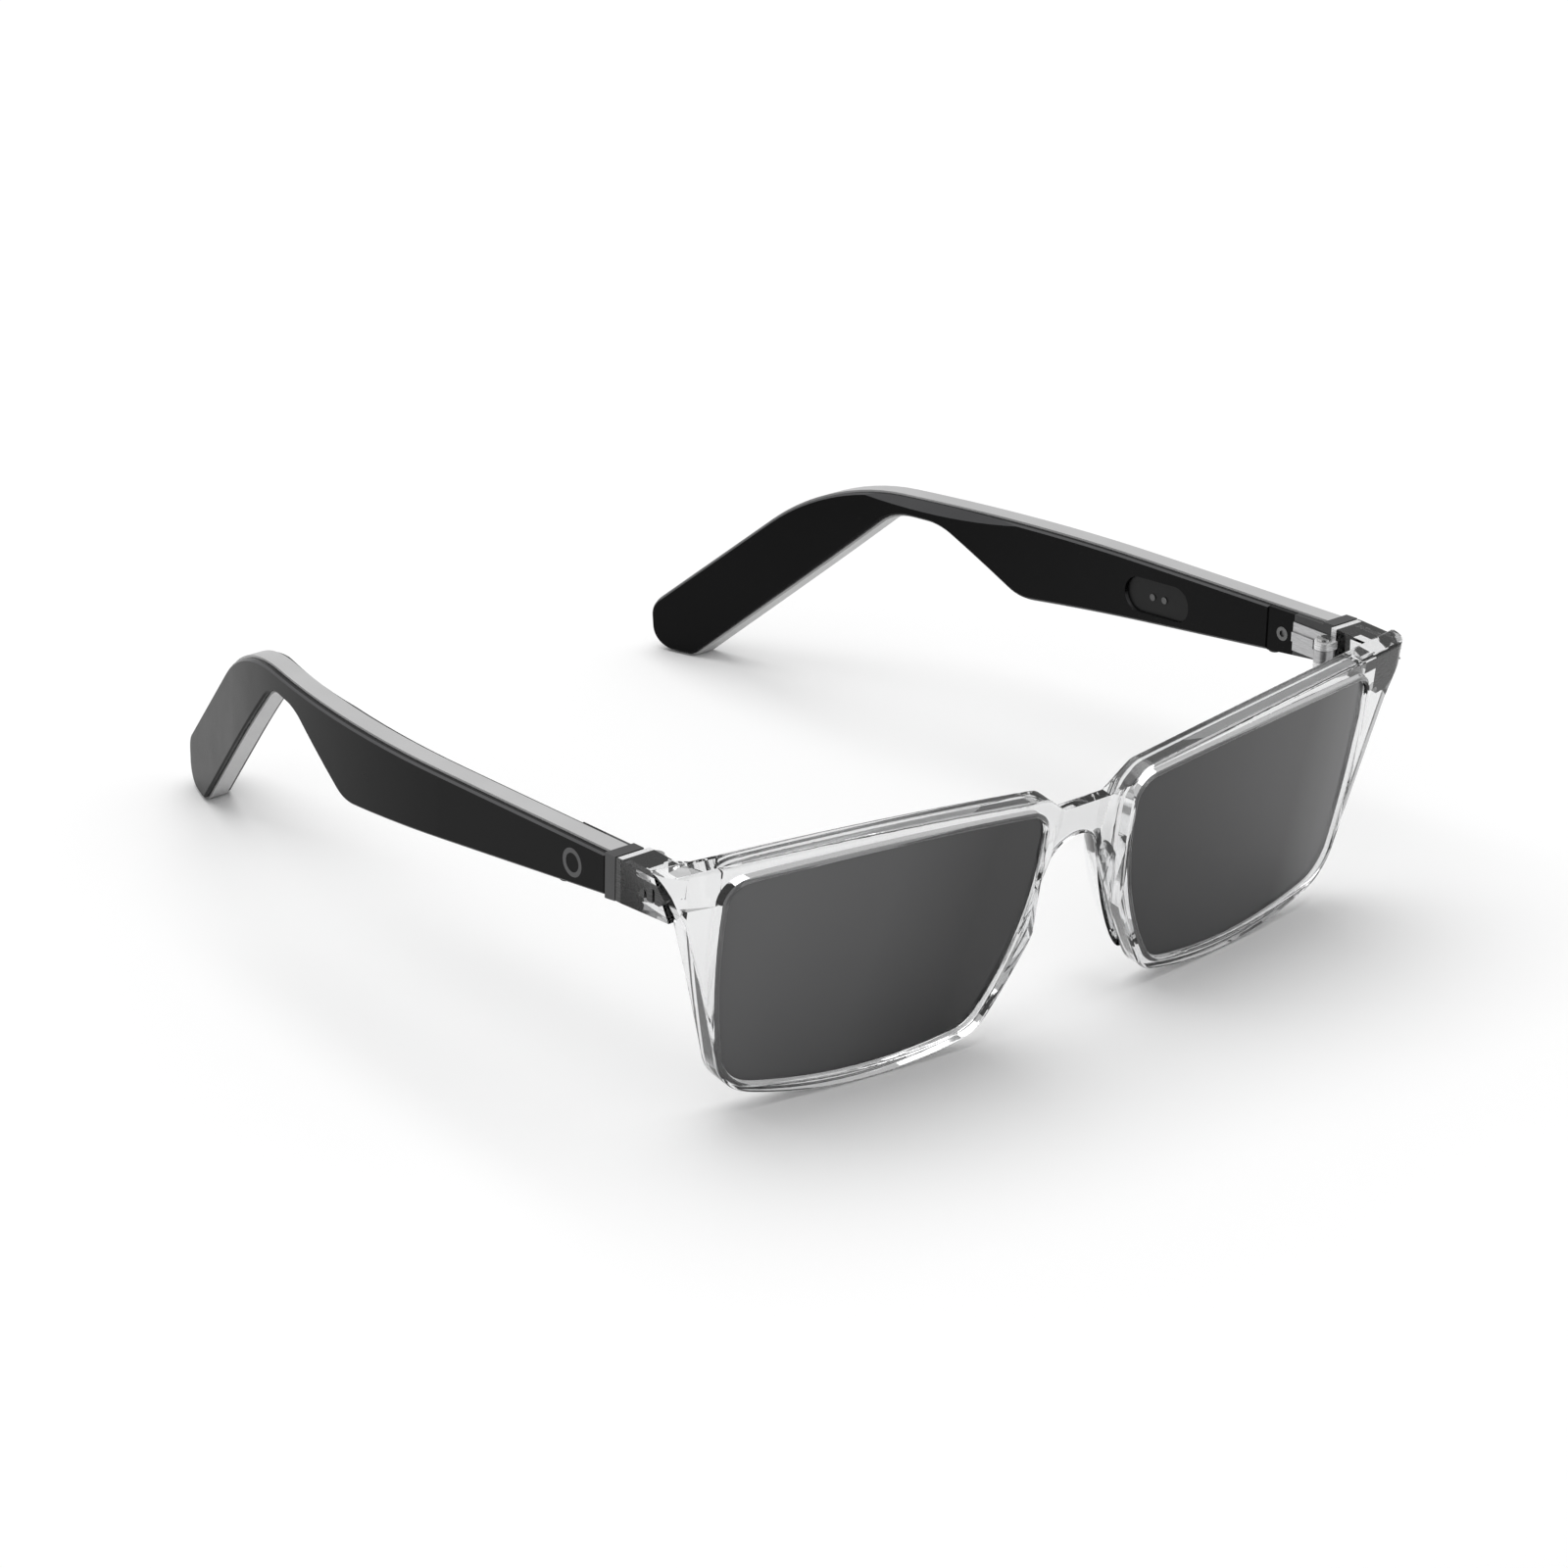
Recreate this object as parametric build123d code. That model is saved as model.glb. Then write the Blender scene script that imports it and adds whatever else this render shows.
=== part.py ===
from build123d import *
import os
from math import cos, radians, sin, tan

os.makedirs("parts", exist_ok=True)

# Smart glasses standing open on their lower rims and temple tips.
# +Z is up, the front faces -Y, the temples run toward +Y, and the wearer's left side is +X.
# Millimetres; the origin is the middle of the footprint, on the surface they stand on.

# ---- front ----
HALF_WIDTH = 72.0
WRAP_RADIUS = 303.0
LEAN = 8.5
ADVANCE = 2.0
RIM_DEPTH = 3.8
BACK_EDGE = 0.6
CORNER_RADIUS = 4.0
TOP_EDGE = 38.3
SADDLE_TOP = 34.0
SADDLE_HALF = 4.4
NOTCH_HALF = 9.3
BRIDGE_UNDER = 28.4
ARCH_RADIUS = 4.77
BRIDGE_SETBACK = 2.2
FRONT_EDGE = 0.5

# ---- lenses ----
LENS_SETBACK = 0.9
LENS_THICK = 2.0
LENS_LIP = 0.7
LENS_PLAY = 0.05

# ---- endpieces and hinges ----
SPLIT_Y = 11.4
SPLIT_GAP = 0.2
HINGE_PLATE = 1.0
PIN_X = 64.9
PIN_Y = SPLIT_Y + SPLIT_GAP / 2
PIN_RADIUS = 0.7
PIN_FIT = 0.03
KNUCKLE_RADIUS = 1.5
KNUCKLE_BOTTOM = 33.6
KNUCKLE_TOP = 38.0
KNUCKLE_MID = 1.9
KNUCKLE_GAP = 0.06
CORE_HEIGHT = 2.9
CORE_WIDE = 1.2
CORE_X = 70.8
CORE_Z = 37.2

# ---- temples ----
TEMPLE_THICK = 5.0
COVER_THICK = 1.0
START_ANGLE = 1.3
END_ANGLE = 20.1
BEND_START_Y = 52.0
BEND_RADIUS = 210.0
CAP_LENGTH = 2.2
TIP_END_Y = 144.4
COVER_EDGE = 0.3
COVER_STEP = 0.35
WALL = 1.3

# ---- details on the temples ----
RING_Y, RING_Z = 21.0, 35.7
RING_RADIUS = 2.1
RING_WIDTH = 0.7
PAD_Y, PAD_Z = 48.3, 32.9
PAD_LENGTH, PAD_HEIGHT = 13.6, 5.8
CONTACT_SPACING = 2.5
CONTACT_RADIUS = 0.55
BUTTON_Y = 25.5
BUTTON_RADIUS = 0.95
BUTTON_TRAVEL = 0.4
SCREW_Y, SCREW_Z = 21.9, 35.4
SCREW_RADIUS = 1.1


def face_of(*edges):
    return make_face(Wire(list(edges)))


def both_sides(shape):
    return shape + mirror(shape, about=Plane.YZ)


def export(name, shape):
    moved = Pos(0, -SHIFT_Y, 0) * shape
    moved.label = name
    export_step(moved, f"parts/{name}.step")


def export_pair(name, shape):
    export(f"{name}_left", shape)
    export(f"{name}_right", mirror(shape, about=Plane.YZ))


# ---- plan of a temple: straight, a wide bend, then straight to the tip ----
BEND_START_X = HALF_WIDTH - tan(radians(START_ANGLE)) * (BEND_START_Y - SPLIT_Y)
BEND_CENTRE_X = BEND_START_X - BEND_RADIUS * cos(radians(START_ANGLE))
BEND_CENTRE_Y = BEND_START_Y - BEND_RADIUS * sin(radians(START_ANGLE))


def on_bend(angle, inset):
    reach = BEND_RADIUS - inset
    return (
        BEND_CENTRE_X + reach * cos(radians(angle)),
        BEND_CENTRE_Y + reach * sin(radians(angle)),
    )


def along(point, angle, y):
    slope = tan(radians(angle))
    return (point[0] - slope * (y - point[1]), y)


def plan_edges(inset):
    first = on_bend(START_ANGLE, inset)
    middle = on_bend((START_ANGLE + END_ANGLE) / 2, inset)
    last = on_bend(END_ANGLE, inset)
    return [
        Line(along(first, START_ANGLE, 0), first),
        ThreePointArc(first, middle, last),
        Line(last, along(last, END_ANGLE, TIP_END_Y + 5)),
    ]


def layer(inset_a, inset_b, y0, y1=TIP_END_Y + 5):
    # one layer of the temple's thickness, between two insets from its outer face
    near = plan_edges(inset_a)
    far = plan_edges(inset_b)
    ends = [Line(near[0] @ 0, far[0] @ 0), Line(near[2] @ 1, far[2] @ 1)]
    strip = extrude(make_face(Wire(near + far + ends)), 60)
    return strip & Pos(50, (y0 + y1) / 2, 30) * Box(100, y1 - y0, 80)


def degrees_of_sine(value):
    return Vector(1, 0, 0).get_angle(Vector((1 - min(value, 1) ** 2) ** 0.5, min(value, 1), 0))


def heading(y):
    # plan angle of the temple at a distance behind the front
    if y < BEND_START_Y:
        return START_ANGLE
    swept = (y - BEND_CENTRE_Y) / BEND_RADIUS
    return min(END_ANGLE, degrees_of_sine(swept))


def outer_x(y):
    angle = heading(y)
    if angle == START_ANGLE:
        return along(on_bend(START_ANGLE, 0), START_ANGLE, y)[0]
    if angle == END_ANGLE:
        return along(on_bend(END_ANGLE, 0), END_ANGLE, y)[0]
    return on_bend(angle, 0)[0]


def at_temple(y, z, inset):
    # local X runs outward through the temple, local Y along it, local Z up
    angle = heading(y)
    x = outer_x(y) - inset / cos(radians(angle))
    return Pos(x, y, z) * Rot(0, 0, angle)


# ---- side view of a temple ----
SIDE_PLANE = Plane(origin=(0, 0, 0), x_dir=(0, 1, 0), z_dir=(1, 0, 0))

TOP_FRONT = (SPLIT_Y, 39.9)
CREST = (113.7, 36.0)
TIP_TOP = (TIP_END_Y, 7.7)
TIP_BOTTOM = (143.8, 0.0)
TIP_HEEL = (136.4, 0.0)
ARCH_BACK = (101.6, 32.9)
ARCH_FRONT = (93.0, 32.9)
BELLY = (77.0, 24.5)
BOTTOM_FRONT = (SPLIT_Y, 33.4)
SIDE_POINTS = [
    TOP_FRONT,
    CREST,
    TIP_TOP,
    TIP_BOTTOM,
    TIP_HEEL,
    ARCH_BACK,
    ARCH_FRONT,
    BELLY,
    BOTTOM_FRONT,
]
SIDE_ROUNDS = {
    CREST: 36.0,
    TIP_TOP: 4.0,
    TIP_BOTTOM: 4.2,
    TIP_HEEL: 1.6,
    ARCH_BACK: 8.0,
    ARCH_FRONT: 10.0,
    BELLY: 8.0,
}


def side_face(inset=0.0):
    face = make_face(Polyline(*SIDE_POINTS, close=True))
    for point, radius in SIDE_ROUNDS.items():
        corner = face.vertices().sort_by_distance(Vector(point[0], point[1], 0))[0]
        face = fillet(corner, radius)
    if inset:
        face = offset(face, amount=-inset)
    return face


def side_solid(face):
    return Pos(30, 0, 0) * extrude(SIDE_PLANE * face, 50)


side_block = side_solid(side_face())
cover_block = side_solid(side_face(COVER_STEP))
cavity_block = side_solid(side_face(WALL))

# ---- front: outline and lens opening, drawn in the leaned and wrapped plane of the front ----
FRONT_PLANE = Plane.XZ
arch_side = ARCH_RADIUS * sin(radians(75))
arch_mid = ARCH_RADIUS * sin(radians(38))


def arch_height(angle):
    return BRIDGE_UNDER - ARCH_RADIUS + ARCH_RADIUS * cos(radians(angle))


half_outline = [
    Line((0, SADDLE_TOP), (SADDLE_HALF, SADDLE_TOP)),
    Line((SADDLE_HALF, SADDLE_TOP), (NOTCH_HALF, 37.7)),
    ThreePointArc((NOTCH_HALF, 37.7), (38, 39.7), (HALF_WIDTH, TOP_EDGE)),
    Line((HALF_WIDTH, TOP_EDGE), (67.8, 30.0)),
    ThreePointArc((67.8, 30.0), (63.5, 16.5), (59.4, 2.6)),
    ThreePointArc((59.4, 2.6), (37.0, -1.1), (16.4, 1.6)),
    ThreePointArc((16.4, 1.6), (9.4, 13.3), (arch_side, arch_height(75))),
    ThreePointArc((arch_side, arch_height(75)), (arch_mid, arch_height(38)), (0, BRIDGE_UNDER)),
    Line((0, BRIDGE_UNDER), (0, SADDLE_TOP)),
]
outline = make_face(Wire(half_outline))
outline_rounds = {(59.4, 2.6): 8.0, (16.4, 1.6): 6.0, (67.8, 30.0): 5.0, (NOTCH_HALF, 37.7): 3.0}
for spot, radius in outline_rounds.items():
    corner = outline.vertices().sort_by_distance(Vector(spot[0], spot[1], 0))[0]
    outline = fillet(corner, radius)


def lens_face(grow):
    # the opening's four curved sides, moved outward by the same amount
    top_in, top_out = (9.2 - grow, 35.0 + grow), (61.7 + grow, 35.4 + grow)
    low_out, low_in = (58.6 + grow, 3.7 - grow), (18.2 - grow, 3.0 - grow)
    face = face_of(
        ThreePointArc(top_in, (36, 36.6 + grow), top_out),
        ThreePointArc(top_out, (61.5 + grow, 20.5), low_out),
        ThreePointArc(low_out, (37.0, 1.15 - grow), low_in),
        ThreePointArc(low_in, (10.4 - grow, 19.0), top_in),
    )
    for spot, radius in ((top_in, 3.5), (top_out, 3.2), (low_out, 6.5), (low_in, 6.0)):
        corner = face.vertices().sort_by_distance(Vector(spot[0], spot[1], 0))[0]
        face = fillet(corner, radius + grow)
    return face


opening = lens_face(0)


def front_prism(face):
    return extrude(FRONT_PLANE * face, amount=40, both=True)


def wrap_shell(depth0, depth1):
    centre = Pos(0, WRAP_RADIUS, 20)
    shell = centre * Cylinder(WRAP_RADIUS - depth0, 80) - centre * Cylinder(WRAP_RADIUS - depth1, 90)
    return shell & Pos(0, 10, 20) * Box(170, 60, 70)


rim = front_prism(outline) & wrap_shell(0, RIM_DEPTH)
rim = rim - front_prism(opening)
front_skin = rim.faces().sort_by_distance(Vector(30, -40, 38))[0]
rim = fillet(front_skin.edges().filter_by(lambda edge: edge.center().X > 0.5), FRONT_EDGE)
back_skin = rim.faces().sort_by_distance(Vector(30, 44, 38))[0]
rim = fillet(back_skin.edges().filter_by(lambda edge: edge.center().X > 0.5), BACK_EDGE)
rim = both_sides(rim)

# the middle of the bridge sits back from the rims, with a slanted facet on each side
setback_plan = Polyline(
    (-NOTCH_HALF + 0.6, -3),
    (-NOTCH_HALF + 0.6, 0.1),
    (-SADDLE_HALF, BRIDGE_SETBACK),
    (SADDLE_HALF, BRIDGE_SETBACK),
    (NOTCH_HALF - 0.6, 0.1),
    (NOTCH_HALF - 0.6, -3),
    close=True,
)
setback = Pos(0, 0, 30) * Rot(9, 0, 0) * extrude(make_face(setback_plan), 20, both=True)
rim = rim - setback

lens_shape = front_prism(lens_face(LENS_LIP)) & wrap_shell(LENS_SETBACK, LENS_SETBACK + LENS_THICK)
groove = front_prism(lens_face(LENS_LIP + LENS_PLAY))
groove = groove & wrap_shell(LENS_SETBACK - LENS_PLAY, LENS_SETBACK + LENS_THICK + LENS_PLAY)
rim = rim - both_sides(groove)

# nose pads: rounded clear fins bonded to the back of the rims
pad_bulb = Pos(11.2, 5.6, 15.2) * Rot(0, -21, 0) * Rot(0, 0, -24) * scale(Sphere(1), by=(2.1, 7.2, 11.5))
nose_pad = pad_bulb & wrap_shell(RIM_DEPTH, 18)

FRONT_LIFT = -(Rot(LEAN, 0, 0) * rim).bounding_box().min.Z


def leaned(shape):
    return Pos(0, -ADVANCE, FRONT_LIFT) * Rot(LEAN, 0, 0) * shape


rim = leaned(rim)
lens = leaned(lens_shape)
nose_pad = leaned(nose_pad)

# ---- endpieces: clear arms from the rim corners back to the hinges ----
ARM_INSIDE = HALF_WIDTH - TEMPLE_THICK - 0.8
PLATE_Y = SPLIT_Y - HINGE_PLATE


def section(y, points):
    upright = Plane(origin=(0, y, 0), x_dir=(1, 0, 0), z_dir=(0, -1, 0))
    return upright * make_face(Polyline(*points, close=True))


arm = loft(
    [
        section(3.4, [(ARM_INSIDE, 32.2), (69.4, 32.2), (HALF_WIDTH, 39.6), (ARM_INSIDE, 39.6)]),
        section(PLATE_Y, [(ARM_INSIDE, 33.5), (HALF_WIDTH, 33.5), (HALF_WIDTH, 39.8), (ARM_INSIDE, 39.8)]),
    ],
    ruled=True,
)
gusset_plan = Polyline((ARM_INSIDE + 1, 8.4), (ARM_INSIDE + 1, 2.6), (61.6, 2.6), (61.6, 3.2), close=True)
gusset = Pos(0, 0, 33.6) * extrude(make_face(gusset_plan), 5.6)
arm = arm + gusset

# the front's outer corners are rounded where its face turns into the arms
round_x = HALF_WIDTH - CORNER_RADIUS
round_y = WRAP_RADIUS - ((WRAP_RADIUS - CORNER_RADIUS) ** 2 - round_x**2) ** 0.5
corner_cut = Pos(round_x + 5.9, round_y - 7, 20) * Box(10, 14, 90)
corner_cut = leaned(corner_cut - Pos(round_x, round_y, 20) * Cylinder(CORNER_RADIUS, 100))

# ---- front hinge leaf: end plate, ribbed and pointed core inside the arm, two knuckles ----
plate = Pos((ARM_INSIDE + HALF_WIDTH) / 2, PLATE_Y + HINGE_PLATE / 2, 36.65) * Box(
    HALF_WIDTH - ARM_INSIDE, HINGE_PLATE, 6.3
)
core_outline = Polyline(
    (PLATE_Y, CORE_Z - CORE_HEIGHT / 2),
    (PLATE_Y, CORE_Z + CORE_HEIGHT / 2),
    (3.6, CORE_Z + CORE_HEIGHT / 2 - 0.3),
    (1.9, CORE_Z - 0.6),
    (3.0, CORE_Z - CORE_HEIGHT / 2 - 0.3),
    close=True,
)
core = extrude(SIDE_PLANE * make_face(core_outline), CORE_WIDE)
rib_slots = [Pos(CORE_WIDE, y, CORE_Z) * Box(0.7, 0.5, 2 * CORE_HEIGHT) for y in (4.2, 5.9, 7.6, 9.3)]
core = Pos(CORE_X - CORE_WIDE / 2, 0, 0) * (core - rib_slots)


def knuckle(z0, z1, side_sign, bore):
    barrel = Pos(PIN_X, PIN_Y, (z0 + z1) / 2) * Cylinder(KNUCKLE_RADIUS, z1 - z0)
    reach = 2.6
    web_y = PIN_Y + side_sign * (KNUCKLE_RADIUS / 2 + 0.1)
    web = Pos(PIN_X + reach / 2, web_y, (z0 + z1) / 2) * Box(reach, KNUCKLE_RADIUS - 0.2, z1 - z0)
    hole = Pos(PIN_X, PIN_Y, (z0 + z1) / 2) * Cylinder(bore, z1 - z0 + 2)
    return barrel + web - hole


mid_z = (KNUCKLE_BOTTOM + KNUCKLE_TOP) / 2
mid_low = mid_z - KNUCKLE_MID / 2
mid_high = mid_z + KNUCKLE_MID / 2
hinge_front = (
    plate
    + core
    + knuckle(KNUCKLE_BOTTOM, mid_low - KNUCKLE_GAP, -1, PIN_RADIUS)
    + knuckle(mid_high + KNUCKLE_GAP, KNUCKLE_TOP, -1, PIN_RADIUS)
)
rear_knuckle_room = Pos(PIN_X, PIN_Y, mid_z) * Cylinder(KNUCKLE_RADIUS + 0.1, KNUCKLE_MID + 2 * KNUCKLE_GAP)
hinge_front = hinge_front - rear_knuckle_room
pin = Pos(PIN_X, PIN_Y, mid_z) * Cylinder(PIN_RADIUS, KNUCKLE_TOP - KNUCKLE_BOTTOM + 0.5)
pin_head = Pos(PIN_X, PIN_Y, KNUCKLE_TOP + 0.25) * Cylinder(1.15, 0.5)
pin_slot = Pos(PIN_X, PIN_Y, KNUCKLE_TOP + 0.4) * Box(0.35, 3, 0.3)
hinge_pin = pin + pin_head - pin_slot

front_frame = rim + both_sides(arm) - both_sides(corner_cut) - both_sides(lens) - both_sides(hinge_front)
nose_pad = nose_pad - front_frame

# ---- temple: end cap, light middle frame, dark outer and inner covers ----
CAP_START = SPLIT_Y + SPLIT_GAP
CAP_END = CAP_START + CAP_LENGTH
BRACKET_END = 19.6
HINGE_COVER_END = 24.8
SEAM = 0.1
INNER = TEMPLE_THICK - COVER_THICK

end_cap = side_block & layer(0, TEMPLE_THICK, CAP_START, CAP_END)
temple_frame = side_block & layer(COVER_THICK, INNER, CAP_END)
outer_cover = cover_block & layer(0, COVER_THICK, CAP_END)
inner_cover = cover_block & layer(INNER, TEMPLE_THICK, HINGE_COVER_END + SEAM)
hinge_cover = cover_block & layer(INNER, TEMPLE_THICK, BRACKET_END + SEAM, HINGE_COVER_END)


def on_skin(face, inset):
    spot = face.center()
    skin_x = outer_x(spot.Y) - inset / cos(radians(heading(spot.Y)))
    return abs(spot.X - skin_x) < 0.12


def bevelled(cover, inset):
    edges = [edge for face in cover.faces() if on_skin(face, inset) for edge in face.edges()]
    border = [e for e in edges if sum((e.center() - other.center()).length < 1e-4 for other in edges) == 1]
    return chamfer(border, COVER_EDGE)


outer_cover = bevelled(outer_cover, 0)
inner_cover = bevelled(inner_cover, TEMPLE_THICK)

# a long shallow facet under the top inner edge, where the temple thins over the ear
FACET_TILT = 20
FACET_RADIUS = 121.0
facet_seat = at_temple(96, 35.6, TEMPLE_THICK - 0.36)
facet = facet_seat * Rot(0, FACET_TILT, 0) * Pos(-FACET_RADIUS, 0, 0) * Cylinder(FACET_RADIUS, 5.5)
inner_cover = inner_cover - facet

cavity = cavity_block & layer(COVER_THICK - 0.01, INNER + 0.01, CAP_END + 4)
temple_frame = temple_frame - cavity


def disc_on_side(y, z, inset, radius, depth):
    # a disc whose axis crosses the temple, reaching inward from the given inset
    disc = Pos(0, 0, depth / 2) * Cylinder(radius, depth)
    return at_temple(y, z, inset) * Rot(0, -90, 0) * disc


def slot_on_side(y, z, inset, length, height, depth):
    # a rounded slot lying along the temple, reaching inward from the given inset
    rise = 4.8
    flat = SlotOverall(length, height)
    seat = at_temple(y, z, inset) * Rot(-rise, 0, 0)
    return seat * extrude(Plane(origin=(0, 0, 0), x_dir=(0, 1, 0), z_dir=(-1, 0, 0)) * flat, depth)


# touch ring set into the outer cover
touch_ring = disc_on_side(RING_Y, RING_Z, -0.04, RING_RADIUS, 0.34)
touch_ring = touch_ring - disc_on_side(RING_Y, RING_Z, -1, RING_RADIUS - RING_WIDTH, 3)
outer_cover = outer_cover - touch_ring

# charging pad, sunk in the inner cover, with two sprung contacts
pad_hole = slot_on_side(PAD_Y, PAD_Z, INNER - 0.01, PAD_LENGTH, PAD_HEIGHT, 2)
inner_cover = inner_cover - pad_hole
charge_pad = slot_on_side(PAD_Y, PAD_Z, INNER, PAD_LENGTH - 0.2, PAD_HEIGHT - 0.2, 0.45)
contact_spots = [(PAD_Y - CONTACT_SPACING / 2, PAD_Z + 0.1), (PAD_Y + CONTACT_SPACING / 2, PAD_Z - 0.1)]
charge_contacts = Part() + [disc_on_side(y, z, INNER - 0.4, CONTACT_RADIUS, 1.0) for y, z in contact_spots]
charge_pad = charge_pad - charge_contacts
charge_magnets = Part() + [disc_on_side(PAD_Y + dy, PAD_Z, INNER - 1.2, 1.6, 1.1) for dy in (-4.4, 4.4)]

# hinge cover screw with a hexagon socket
cover_screw = disc_on_side(SCREW_Y, SCREW_Z, INNER + 0.5, SCREW_RADIUS, 0.55)
cover_screw = cover_screw + disc_on_side(SCREW_Y, SCREW_Z, INNER - 0.9, 0.5, 1.5)
hex_prism = extrude(RegularPolygon(0.55, 6), 1)
socket = at_temple(SCREW_Y, SCREW_Z, INNER + 0.75) * Rot(0, -90, 0) * hex_prism
temple_frame = temple_frame - disc_on_side(SCREW_Y, SCREW_Z, INNER - 0.9, 0.5, 1.5)
hinge_cover = hinge_cover - cover_screw - disc_on_side(SCREW_Y, SCREW_Z, INNER + 0.5, SCREW_RADIUS + 0.05, 2)
cover_screw = cover_screw - socket

# rear hinge leaf: bracket let into the temple's inside, one knuckle on the pin
bracket_seat = at_temple((CAP_START + BRACKET_END) / 2, mid_z, TEMPLE_THICK - 0.7)
bracket = bracket_seat * Box(1.8, BRACKET_END - CAP_START, 4.6)
bracket_fin = at_temple(17.4, mid_z, TEMPLE_THICK + 0.2) * Box(0.6, 4.4, 1.5)
hinge_rear = bracket + bracket_fin + knuckle(mid_low, mid_high, 1, PIN_RADIUS + PIN_FIT)
front_knuckle_room = Pos(PIN_X, PIN_Y, mid_z) * Cylinder(KNUCKLE_RADIUS + 0.1, 8)
front_knuckle_room = front_knuckle_room - Pos(PIN_X, PIN_Y, mid_z) * Box(9, 9, KNUCKLE_MID)
hinge_rear = hinge_rear - front_knuckle_room
end_cap = end_cap - hinge_rear
temple_frame = temple_frame - hinge_rear
trim = cover_block & layer(INNER, TEMPLE_THICK, CAP_END, BRACKET_END)
end_trim = trim - hinge_rear
end_cap = end_cap + end_trim

# push button under the temple, with the switch that it works
BOTTOM_SLOPE = (BELLY[1] - BOTTOM_FRONT[1]) / (BELLY[0] - BOTTOM_FRONT[0])
MIDDLE = TEMPLE_THICK / 2


def bottom_z(y):
    return BOTTOM_FRONT[1] + BOTTOM_SLOPE * (y - BOTTOM_FRONT[0])


def upright_disc(y, z0, z1, radius):
    return at_temple(y, z0, MIDDLE) * Cylinder(radius, z1 - z0, align=(Align.CENTER, Align.CENTER, Align.MIN))


button_low = bottom_z(BUTTON_Y) - 0.6
flange_low = bottom_z(BUTTON_Y) + WALL + 0.25
button = upright_disc(BUTTON_Y, button_low, flange_low + 0.4, BUTTON_RADIUS)
button = button + upright_disc(BUTTON_Y, flange_low, flange_low + 0.4, BUTTON_RADIUS + 0.35)
button = fillet(button.edges().sort_by(Axis.Z)[0], 0.25)
button_switch = at_temple(BUTTON_Y, flange_low + 0.4 + BUTTON_TRAVEL + 0.05, MIDDLE) * (
    Cylinder(0.6, 0.4, align=(Align.CENTER, Align.CENTER, Align.MIN))
    + Pos(0, 0, 0.4) * Box(2.6, 3.4, 1.2, align=(Align.CENTER, Align.CENTER, Align.MIN))
)
temple_frame = temple_frame - upright_disc(BUTTON_Y, 20, 35, BUTTON_RADIUS + 0.06)

# electronics in the cavity: board, battery, speaker, microphone, and a cell in the tip
board_seat = at_temple(34.5, 34.8, MIDDLE + 0.6) * Rot(-5, 0, 0)
circuit_board = board_seat * Box(0.8, 13.6, 4.2)
chips = [(-4.5, 3.4, 3.0), (0.2, 2.6, 2.6), (4.6, 3.2, 2.0)]
circuit_board = circuit_board + [board_seat * Pos(0.75, y, 0) * Box(0.7, w, h) for y, w, h in chips]
battery_seat = at_temple(53.5, 33.0, COVER_THICK + 1.0) * Rot(-5, 0, 0)
battery = battery_seat * Box(1.3, 20, 6.0)
battery = battery + battery_seat * Pos(0, -10.5, 0) * Box(1.0, 1.0, 4.4)
speaker_seat = at_temple(72.5, 31.35, MIDDLE) * Rot(-5, 0, 0)
speaker = speaker_seat * Box(2.6, 12.5, 7.6)
speaker = speaker + speaker_seat * Pos(-1.35, 0, 0) * Rot(0, 90, 0) * Cylinder(2.8, 0.2)
tip_cell = at_temple(126, 17.2, MIDDLE) * Rot(-42.7, 0, 0) * Box(2.6, 20, 6.4)


def in_bottom_wall(y, length, width, z_above=0.0, depth=WALL):
    seat = at_temple(y, bottom_z(y), MIDDLE) * Rot(-8, 0, 0) * Pos(0, 0, z_above)
    return seat * Box(width, length, depth, align=(Align.CENTER, Align.CENTER, Align.MIN))


speaker_grille = in_bottom_wall(66, 8.0, 1.5, 0.15, 0.5)
grille_holes = [in_bottom_wall(66 + step * 0.9, 0.45, 0.9, -1, 3) for step in range(-4, 5)]
temple_frame = temple_frame - in_bottom_wall(66, 8.0, 1.5, -1, 1.65) - in_bottom_wall(66, 7.4, 1.1, -1, 4)
speaker_grille = speaker_grille - grille_holes
microphone = upright_disc(31, bottom_z(31) + 0.2, bottom_z(31) + WALL + 0.6, 0.75)
temple_frame = temple_frame - upright_disc(31, bottom_z(31) - 1, bottom_z(31) + WALL + 0.6, 0.75)
microphone = microphone - upright_disc(31, bottom_z(31) - 1, bottom_z(31) + 0.6, 0.3)

# ---- one file for every piece ----
SHIFT_Y = (front_frame.bounding_box().min.Y + temple_frame.bounding_box().max.Y) / 2

export("front_frame", front_frame)
export_pair("lens", lens)
export_pair("nose_pad", nose_pad)
export_pair("hinge_front", hinge_front)
export_pair("hinge_pin", hinge_pin)
export_pair("hinge_rear", hinge_rear)
export_pair("end_cap", end_cap)
export_pair("temple_frame", temple_frame)
export_pair("outer_cover", outer_cover)
export_pair("inner_cover", inner_cover)
export_pair("hinge_cover", hinge_cover)
export_pair("cover_screw", cover_screw)
export_pair("touch_ring", touch_ring)
export_pair("charge_pad", charge_pad)
export_pair("charge_contacts", charge_contacts)
export_pair("charge_magnets", charge_magnets)
export_pair("button", button)
export_pair("button_switch", button_switch)
export_pair("circuit_board", circuit_board)
export_pair("battery", battery)
export_pair("speaker", speaker)
export_pair("speaker_grille", speaker_grille)
export_pair("microphone", microphone)
export_pair("tip_cell", tip_cell)
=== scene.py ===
import math

import bpy
from mathutils import Matrix, Vector


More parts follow.
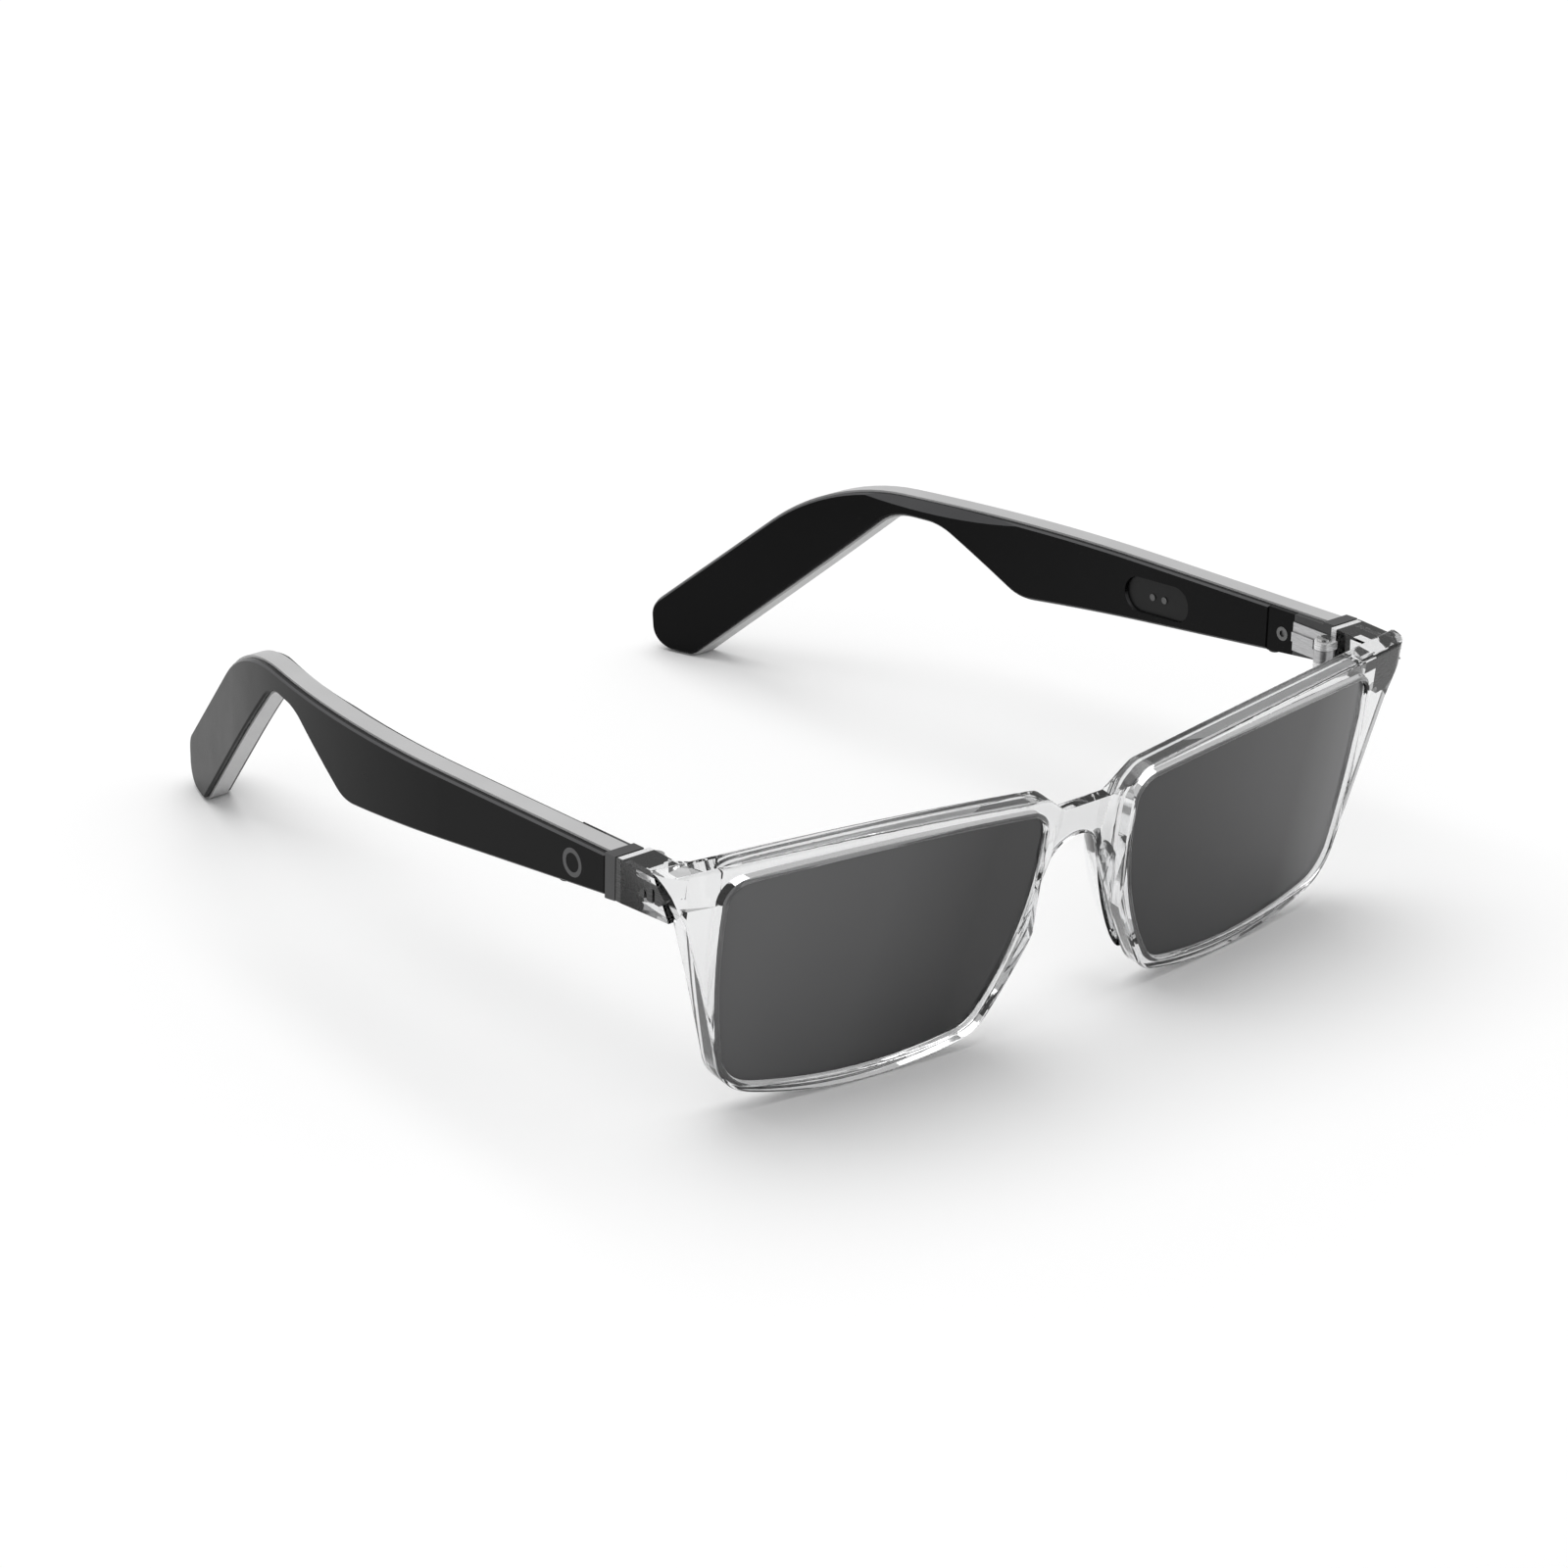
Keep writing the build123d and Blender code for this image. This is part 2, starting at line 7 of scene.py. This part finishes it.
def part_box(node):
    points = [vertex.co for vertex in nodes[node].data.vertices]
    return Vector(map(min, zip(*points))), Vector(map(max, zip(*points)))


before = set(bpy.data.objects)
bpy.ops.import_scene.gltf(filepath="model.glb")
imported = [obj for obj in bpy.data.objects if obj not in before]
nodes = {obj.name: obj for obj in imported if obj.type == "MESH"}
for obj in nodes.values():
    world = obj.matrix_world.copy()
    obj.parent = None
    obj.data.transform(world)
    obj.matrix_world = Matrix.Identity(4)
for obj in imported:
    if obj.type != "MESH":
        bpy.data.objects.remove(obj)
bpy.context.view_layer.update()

# ---------------------------------------------------------------- materials
# object-space limits of the dark parts of the front hinge leaf, in metres:
# its ribbed core lies outside CORE_SIDE and in front of CORE_BACK, its plate's rim outside PLATE_RIM
CORE_SIDE = 0.0695
CORE_BACK = -0.0585
PLATE_RIM = 0.0717
# height of the lens border that is held in the rim's groove
LENS_LIP = 0.0009
# moulding and brushing marks: noise scale and bump height in metres
FINE_GRAIN = 900.0
BRUSHED_GRAIN = 700.0
MARK_DEPTH = 0.00002
# colour sockets of a Mix node, by place, because its float, vector and colour sockets share names
MIX_FACTOR, MIX_A, MIX_B, MIX_RESULT = 0, 6, 7, 2


def new_material(name):
    mat = bpy.data.materials.new(name)
    mat.use_nodes = True
    tree = mat.node_tree
    tree.nodes.clear()
    out = tree.nodes.new("ShaderNodeOutputMaterial")
    bsdf = tree.nodes.new("ShaderNodeBsdfPrincipled")
    tree.links.new(bsdf.outputs[0], out.inputs["Surface"])
    return mat, tree, bsdf


def object_place(tree):
    coord = tree.nodes.new("ShaderNodeTexCoord")
    return coord.outputs["Object"]


def axis_of(tree, vector, axis):
    split = tree.nodes.new("ShaderNodeSeparateXYZ")
    tree.links.new(vector, split.inputs[0])
    return split.outputs[axis]


def calculate(tree, operation, first, second=None):
    # a Math node; the second value is a socket, a constant or absent
    node = tree.nodes.new("ShaderNodeMath")
    node.operation = operation
    tree.links.new(first, node.inputs[0])
    if isinstance(second, float):
        node.inputs[1].default_value = second
    elif second is not None:
        tree.links.new(second, node.inputs[1])
    return node.outputs[0]


def mix(tree, factor, first, second, blend="MIX"):
    # a colour Mix node; the factor and the second colour may be constants
    node = tree.nodes.new("ShaderNodeMix")
    node.data_type = "RGBA"
    node.blend_type = blend
    for place, value in ((MIX_FACTOR, factor), (MIX_A, first), (MIX_B, second)):
        if isinstance(value, (float, tuple)):
            node.inputs[place].default_value = value
        else:
            tree.links.new(value, node.inputs[place])
    return node.outputs[MIX_RESULT]


def noise(tree, scale, detail=3.0, rough=0.5, stretch=(1, 1, 1)):
    mapping = tree.nodes.new("ShaderNodeMapping")
    mapping.inputs["Scale"].default_value = stretch
    tex = tree.nodes.new("ShaderNodeTexNoise")
    tex.inputs["Scale"].default_value = scale
    tex.inputs["Detail"].default_value = detail
    tex.inputs["Roughness"].default_value = rough
    tree.links.new(object_place(tree), mapping.inputs["Vector"])
    tree.links.new(mapping.outputs[0], tex.inputs["Vector"])
    return tex.outputs["Fac"]


def ramp(tree, value, stops):
    node = tree.nodes.new("ShaderNodeValToRGB")
    elements = node.color_ramp.elements
    while len(elements) < len(stops):
        elements.new(0.5)
    for element, (place, colour) in zip(elements, stops):
        element.position = place
        element.color = (*colour, 1.0)
    tree.links.new(value, node.inputs["Fac"])
    return node.outputs["Color"]


def spread(tree, value, low, high):
    node = tree.nodes.new("ShaderNodeMapRange")
    node.inputs["To Min"].default_value = low
    node.inputs["To Max"].default_value = high
    tree.links.new(value, node.inputs["Value"])
    return node.outputs["Result"]


def bump(tree, bsdf, value, strength, distance):
    node = tree.nodes.new("ShaderNodeBump")
    node.inputs["Strength"].default_value = strength
    node.inputs["Distance"].default_value = distance
    tree.links.new(value, node.inputs["Height"])
    tree.links.new(node.outputs["Normal"], bsdf.inputs["Normal"])


def moulded(name, dark, light, rough=(0.3, 0.4), specular=0.5):
    mat, tree, bsdf = new_material(name)
    tone = noise(tree, 60.0)
    tree.links.new(ramp(tree, tone, [(0.3, dark), (0.7, light)]), bsdf.inputs["Base Color"])
    tree.links.new(spread(tree, noise(tree, 220.0), *rough), bsdf.inputs["Roughness"])
    bsdf.inputs["Specular IOR Level"].default_value = specular
    bump(tree, bsdf, noise(tree, FINE_GRAIN, 2.0), 0.35, MARK_DEPTH)
    return mat


def satin_cover_painted_sheen(name, side_grey, painted_sheen_grey):
    # near-black satin with a painted highlight: faces that stand level stay black, while the rounded upper
    # edges, which tilt upwards, get a lighter base colour as a painted sheen in place of the studio light
    mat, tree, bsdf = new_material(name)
    geometry = tree.nodes.new("ShaderNodeNewGeometry")
    upward = axis_of(tree, geometry.outputs["Normal"], "Z")
    faint = side_grey * 1.4
    # painted sheen: the ramp on the normal's upward part lightens the tilted bevels and darkens the flat
    # top again
    stops = [(0.0, side_grey), (0.1, faint), (0.34, painted_sheen_grey), (0.7, painted_sheen_grey * 1.1), (1.0, painted_sheen_grey * 0.2)]
    sheen = ramp(tree, upward, [(place, (grey, grey, grey * 1.03)) for place, grey in stops])
    mottle = ramp(tree, noise(tree, 60.0), [(0.3, (0.85, 0.85, 0.85)), (0.7, (1.0, 1.0, 1.0))])
    tree.links.new(mix(tree, 1.0, sheen, mottle, "MULTIPLY"), bsdf.inputs["Base Color"])
    tree.links.new(spread(tree, noise(tree, 220.0), 0.2, 0.3), bsdf.inputs["Roughness"])
    bsdf.inputs["Specular IOR Level"].default_value = 0.07
    bump(tree, bsdf, noise(tree, FINE_GRAIN, 2.0), 0.35, MARK_DEPTH)
    return mat


def metal(name, dark, light, rough=(0.25, 0.4), stretch=(1, 1, 14)):
    mat, tree, bsdf = new_material(name)
    grain = noise(tree, BRUSHED_GRAIN, 4.0, 0.6, stretch)
    tree.links.new(ramp(tree, grain, [(0.25, dark), (0.75, light)]), bsdf.inputs["Base Color"])
    tree.links.new(spread(tree, grain, *rough), bsdf.inputs["Roughness"])
    bsdf.inputs["Metallic"].default_value = 1.0
    bump(tree, bsdf, grain, 0.3, MARK_DEPTH)
    return mat


def hinge_metal(name):
    # bright leaf and knuckles; the ribbed core bonded in the clear arm and the plate's rim are dark
    mat, tree, bsdf = new_material(name)
    grain = noise(tree, BRUSHED_GRAIN, 4.0, 0.6, (1, 1, 14))
    place = object_place(tree)
    reach = calculate(tree, "ABSOLUTE", axis_of(tree, place, "X"))
    outside = calculate(tree, "GREATER_THAN", reach, CORE_SIDE)
    ahead = calculate(tree, "LESS_THAN", axis_of(tree, place, "Y"), CORE_BACK)
    ribs = calculate(tree, "MULTIPLY", outside, ahead)
    rim = calculate(tree, "GREATER_THAN", reach, PLATE_RIM)
    dark_part = calculate(tree, "MAXIMUM", ribs, rim)
    bright = ramp(tree, grain, [(0.25, (0.78, 0.78, 0.78)), (0.75, (0.88, 0.88, 0.89))])
    dark = ramp(tree, grain, [(0.25, (0.03, 0.03, 0.03)), (0.75, (0.07, 0.07, 0.07))])
    tree.links.new(mix(tree, dark_part, bright, dark), bsdf.inputs["Base Color"])
    tree.links.new(spread(tree, grain, 0.2, 0.35), bsdf.inputs["Roughness"])
    bsdf.inputs["Metallic"].default_value = 0.4
    bump(tree, bsdf, grain, 0.3, MARK_DEPTH)
    return mat


def clear_plastic(name, tint=(0.81, 0.813, 0.816), rough=(0.0, 0.02)):
    mat, tree, bsdf = new_material(name)
    bsdf.inputs["Transmission Weight"].default_value = 1.0
    bsdf.inputs["IOR"].default_value = 1.49
    tone = noise(tree, 25.0)
    paler = tuple(channel + 0.03 for channel in tint)
    tree.links.new(ramp(tree, tone, [(0.2, tint), (0.8, paler)]), bsdf.inputs["Base Color"])
    tree.links.new(spread(tree, noise(tree, 90.0), *rough), bsdf.inputs["Roughness"])
    bump(tree, bsdf, noise(tree, 45.0, 2.0), 0.03, 0.0001)
    return mat


def tinted_lens_painted_reflection(name):
    # dark tint with a painted reflection: the base colour is made lighter where the surface is seen at a
    # flatter angle, standing in for the reflected studio light
    mat, tree, bsdf = new_material(name)
    weight = tree.nodes.new("ShaderNodeLayerWeight")
    weight.inputs["Blend"].default_value = 0.5
    # grey of the dark tint plus the painted reflection, by facing value
    tint_and_reflection_greys = [
        (0.25, 0.1),
        (0.29, 0.095),
        (0.33, 0.076),
        (0.37, 0.032),
        (0.465, 0.04),
        (0.52, 0.056),
        (0.556, 0.06),
        (0.59, 0.13),
    ]
    stops = [(place, (grey, grey, grey * 1.02)) for place, grey in tint_and_reflection_greys]
    sheen = ramp(tree, weight.outputs["Facing"], stops)
    # the border held in the groove is ground and paler than the tinted face
    border_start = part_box("lens_left")[1][2] - LENS_LIP
    border = calculate(tree, "GREATER_THAN", axis_of(tree, object_place(tree), "Z"), border_start)
    tree.links.new(mix(tree, border, sheen, (0.5, 0.5, 0.505, 1.0)), bsdf.inputs["Base Color"])
    tree.links.new(spread(tree, noise(tree, 160.0), 0.05, 0.09), bsdf.inputs["Roughness"])
    bsdf.inputs["Specular IOR Level"].default_value = 0.4
    bump(tree, bsdf, noise(tree, 60.0, 2.0), 0.04, 0.00005)
    return mat


CELL_FOIL = ((0.5, 0.5, 0.52), (0.7, 0.7, 0.72), (0.25, 0.5))
MATERIALS = {
    "front_frame": clear_plastic("clear_crystal"),
    "nose_pad": clear_plastic("clear_pad", (0.93, 0.935, 0.94), (0.02, 0.06)),
    # the lens material paints its reflection into the base colour
    "lens": tinted_lens_painted_reflection("lens_tint"),
    "hinge_front": hinge_metal("hinge_steel"),
    "hinge_rear": metal("hinge_steel_rear", (0.35, 0.35, 0.35), (0.6, 0.6, 0.61)),
    "hinge_pin": metal("screw_steel", (0.4, 0.4, 0.4), (0.6, 0.6, 0.6), (0.15, 0.3), (14, 14, 1)),
    "end_cap": moulded(
        "cap_dark", (0.03, 0.03, 0.031), (0.04, 0.04, 0.041), (0.25, 0.35), specular=0.4
    ),
    "temple_frame": moulded("edge_grey", (0.43, 0.43, 0.432), (0.48, 0.48, 0.482), (0.35, 0.5)),
    # the second grey of each cover is the painted sheen on its upward-tilted edges
    "outer_cover": satin_cover_painted_sheen("cover_black", 0.0035, 0.09),
    "inner_cover": satin_cover_painted_sheen("inner_black", 0.0045, 0.09),
    "hinge_cover": satin_cover_painted_sheen("hinge_cover_black", 0.0045, 0.09),
    "cover_screw": metal("small_screw", (0.1, 0.1, 0.1), (0.2, 0.2, 0.2), (0.3, 0.45)),
    "touch_ring": moulded(
        "ring_grey", (0.05, 0.05, 0.051), (0.065, 0.065, 0.067), (0.3, 0.4), specular=0.4
    ),
    "charge_pad": moulded(
        "pad_black", (0.004, 0.004, 0.0042), (0.006, 0.006, 0.006), (0.3, 0.4), specular=0.2
    ),
    "charge_contacts": metal("contact_plate", (0.08, 0.08, 0.08), (0.15, 0.15, 0.15)),
    "charge_magnets": metal("magnet_plate", (0.5, 0.5, 0.52), (0.65, 0.65, 0.67)),
    "button": moulded("button_dark", (0.02, 0.02, 0.02), (0.03, 0.03, 0.03), (0.45, 0.6)),
    "button_switch": metal("switch_tin", (0.5, 0.5, 0.5), (0.65, 0.65, 0.65)),
    "circuit_board": moulded("board_green", (0.01, 0.07, 0.03), (0.02, 0.1, 0.05), (0.3, 0.45)),
    "battery": metal("cell_foil", *CELL_FOIL),
    "tip_cell": metal("tip_cell_foil", *CELL_FOIL),
    "speaker": moulded("speaker_black", (0.03, 0.03, 0.03), (0.05, 0.05, 0.05), (0.4, 0.55)),
    "speaker_grille": metal("mesh_dark", (0.05, 0.05, 0.05), (0.12, 0.12, 0.12)),
    "microphone": metal("mic_can", (0.5, 0.48, 0.42), (0.7, 0.68, 0.6)),
}
for name, obj in nodes.items():
    kind = name.replace("_left", "").replace("_right", "")
    for slot in obj.material_slots:
        slot.material = MATERIALS[kind]

# ---------------------------------------------------------------- stage, light, camera
FLOOR_HALF = 3.0
FLOOR_DROP = 0.00002
mesh = bpy.data.meshes.new("floor")
corners = [
    (-FLOOR_HALF, -FLOOR_HALF),
    (FLOOR_HALF, -FLOOR_HALF),
    (FLOOR_HALF, FLOOR_HALF),
    (-FLOOR_HALF, FLOOR_HALF),
]
mesh.from_pydata([(x, y, -FLOOR_DROP) for x, y in corners], [], [(0, 1, 2, 3)])
floor = bpy.data.objects.new("floor", mesh)
bpy.context.scene.collection.objects.link(floor)
floor_mat, floor_tree, floor_bsdf = new_material("floor_white")
floor_tones = [(0.3, (0.93, 0.93, 0.93)), (0.7, (0.95, 0.95, 0.95))]
floor_tone = ramp(floor_tree, noise(floor_tree, 3.0), floor_tones)
floor_tree.links.new(floor_tone, floor_bsdf.inputs["Base Color"])
floor_bsdf.inputs["Roughness"].default_value = 0.9
floor_bsdf.inputs["Specular IOR Level"].default_value = 0.1
mesh.materials.append(floor_mat)

WORLD_STRENGTH = 0.56
world = bpy.data.worlds.new("studio")
bpy.context.scene.world = world
world.use_nodes = True
world_tree = world.node_tree
world_tree.nodes.clear()
world_out = world_tree.nodes.new("ShaderNodeOutputWorld")
sky = world_tree.nodes.new("ShaderNodeBackground")
sky.inputs["Color"].default_value = (1, 1, 1, 1)
sky.inputs["Strength"].default_value = WORLD_STRENGTH
world_tree.links.new(sky.outputs[0], world_out.inputs["Surface"])


def area_light(name, place, target, size, power):
    data = bpy.data.lights.new(name, "AREA")
    data.shape = "RECTANGLE"
    data.size, data.size_y = size
    data.energy = power
    light = bpy.data.objects.new(name, data)
    light.location = place
    light.rotation_mode = "QUATERNION"
    light.rotation_quaternion = (Vector(target) - Vector(place)).to_track_quat("-Z", "Y")
    bpy.context.scene.collection.objects.link(light)


KEY_PLACE = (-0.05, 0.62, 2.4)
KEY_TARGET = (0, -0.02, 0)
KEY_SIZE = (3.2, 3.2)
KEY_POWER = 52.0
area_light("key", KEY_PLACE, KEY_TARGET, KEY_SIZE, KEY_POWER)

CAMERA_AZIMUTH, CAMERA_ELEVATION, CAMERA_ROLL = -41.42, 23.2, 1.48
CAMERA_DISTANCE, CAMERA_LENS = 0.807, 123.2
CAMERA_TARGET = Vector((0.00055, -0.008455, 0.01504))

azimuth, elevation = math.radians(CAMERA_AZIMUTH), math.radians(CAMERA_ELEVATION)
level = math.cos(elevation)
toward = Vector((math.sin(azimuth) * level, -math.cos(azimuth) * level, math.sin(elevation)))
cam_data = bpy.data.cameras.new("camera")
cam_data.lens = CAMERA_LENS
cam_data.sensor_width = 36.0
cam_data.clip_start, cam_data.clip_end = 0.01, 20.0
camera = bpy.data.objects.new("camera", cam_data)
camera.location = CAMERA_TARGET + toward * CAMERA_DISTANCE
camera.rotation_mode = "QUATERNION"
roll = Matrix.Rotation(math.radians(CAMERA_ROLL), 4, "Z").to_quaternion()
camera.rotation_quaternion = (-toward).to_track_quat("-Z", "Y") @ roll
bpy.context.scene.collection.objects.link(camera)
bpy.context.scene.camera = camera
bpy.context.scene.view_settings.view_transform = "Standard"
